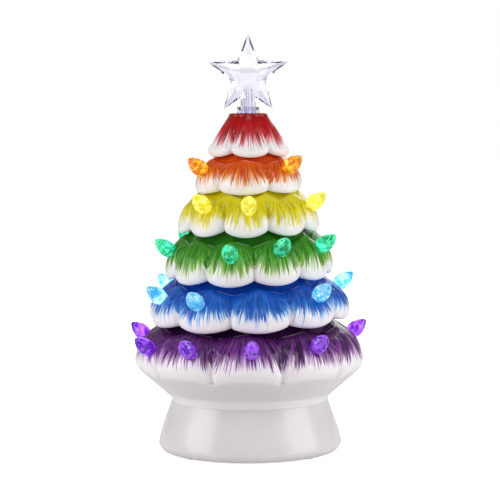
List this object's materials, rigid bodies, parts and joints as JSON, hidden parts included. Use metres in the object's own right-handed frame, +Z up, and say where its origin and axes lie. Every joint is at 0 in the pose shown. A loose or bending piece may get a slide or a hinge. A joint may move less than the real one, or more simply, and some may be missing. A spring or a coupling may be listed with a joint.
{
  "type": "ceramic christmas tree",
  "caption": "Tabletop ceramic Christmas tree in painted scalloped tiers with faceted clear bulbs and a clear star, lifting off a flared white pedestal with a battery lamp.",
  "frame": {"origin": "on the table, under the tree's axis, at the bottom of the foot pads", "axes": "+Z up along the tree's axis, -Y towards the viewer's side, +X to the viewer's right"},
  "size_m": [0.1469, 0.1529, 0.254],
  "materials": {
    "tree_glaze": "hand-painted gloss glaze, six tier colours with white hems",
    "base_glaze": "white gloss glaze",
    "clear_star": "clear moulded acrylic",
    "foot_pad": "frosted silicone",
    "gasket": "matte",
    "tray": "fine moulded texture",
    "contact": "nickel plated",
    "switch": "moulded",
    "slider": "moulded",
    "board": "green solder mask",
    "post": "moulded",
    "screw": "zinc plated",
    "led": "clear epoxy dome",
    "aa_cell": "plain printed sleeve with a bare pole",
    "red_lead": "PVC insulation",
    "black_lead": "PVC insulation",
    "orange_bulb": "tinted clear moulded plastic",
    "yellow_bulb": "tinted clear moulded plastic",
    "green_bulb": "tinted clear moulded plastic",
    "blue_bulb": "tinted clear moulded plastic",
    "purple_bulb": "tinted clear moulded plastic"
  },
  "bodies": {
    "base": {"aa_cell_1": "aa_cell", "aa_cell_2": "aa_cell", "aa_cell_3": "aa_cell", "base_shell": "base_glaze", "battery_tray": "tray", "black_lead": "black_lead", "contact_plates": "contact", "contact_springs": "contact", "foot_pad_1": "foot_pad", "foot_pad_2": "foot_pad", "foot_pad_3": "foot_pad", "foot_pad_4": "foot_pad", "lamp_post": "post", "led_1": "led", "led_2": "led", "led_3": "led", "led_4": "led", "led_5": "led", "led_board": "board", "post_screws": "screw", "red_lead": "red_lead", "switch_body": "switch", "timer_board": "board", "tray_gasket": "gasket"},
    "tree": {"tree_shell": "tree_glaze", "blue_bulb_1": "blue_bulb", "blue_bulb_2": "blue_bulb", "blue_bulb_3": "blue_bulb", "blue_bulb_4": "blue_bulb", "blue_bulb_5": "blue_bulb", "blue_bulb_6": "blue_bulb", "blue_bulb_7": "blue_bulb", "green_bulb_1": "green_bulb", "green_bulb_2": "green_bulb", "green_bulb_3": "green_bulb", "green_bulb_4": "green_bulb", "green_bulb_5": "green_bulb", "green_bulb_6": "green_bulb", "green_bulb_7": "green_bulb", "orange_bulb_1": "orange_bulb", "orange_bulb_2": "orange_bulb", "orange_bulb_3": "orange_bulb", "purple_bulb_1": "purple_bulb", "purple_bulb_2": "purple_bulb", "purple_bulb_3": "purple_bulb", "purple_bulb_4": "purple_bulb", "purple_bulb_5": "purple_bulb", "purple_bulb_6": "purple_bulb", "purple_bulb_7": "purple_bulb", "purple_bulb_8": "purple_bulb", "purple_bulb_9": "purple_bulb", "yellow_bulb_1": "yellow_bulb", "yellow_bulb_2": "yellow_bulb", "yellow_bulb_3": "yellow_bulb", "yellow_bulb_4": "yellow_bulb", "yellow_bulb_5": "yellow_bulb"},
    "bush": {"star_bush": "clear_star"},
    "star": {"star": "clear_star"},
    "door": {"battery_door": "tray"},
    "switch": {"switch_slider": "slider"}
  },
  "joints": [
    {"name": "tree_lift", "type": "slide", "parent": "base", "child": "tree", "axis": [0, 0, 1], "range_m": [0, 0.095]},
    {"name": "star_turn", "type": "hinge", "parent": "tree", "child": "bush", "pos_m": [0, 0, 0.206], "axis": [0, 0, 1], "continuous": true},
    {"name": "star_lift", "type": "slide", "parent": "bush", "child": "star", "axis": [0, 0, 1], "range_m": [0, 0.02]},
    {"name": "switch_slide", "type": "slide", "parent": "base", "child": "switch", "axis": [1, 0, 0], "range_m": [-0.002, 0.002]},
    {"name": "door_swing", "type": "hinge", "parent": "base", "child": "door", "pos_m": [-0.0266, 0, 0.0037], "axis": [0, 1, 0], "range_deg": [0, 90]}
  ]
}
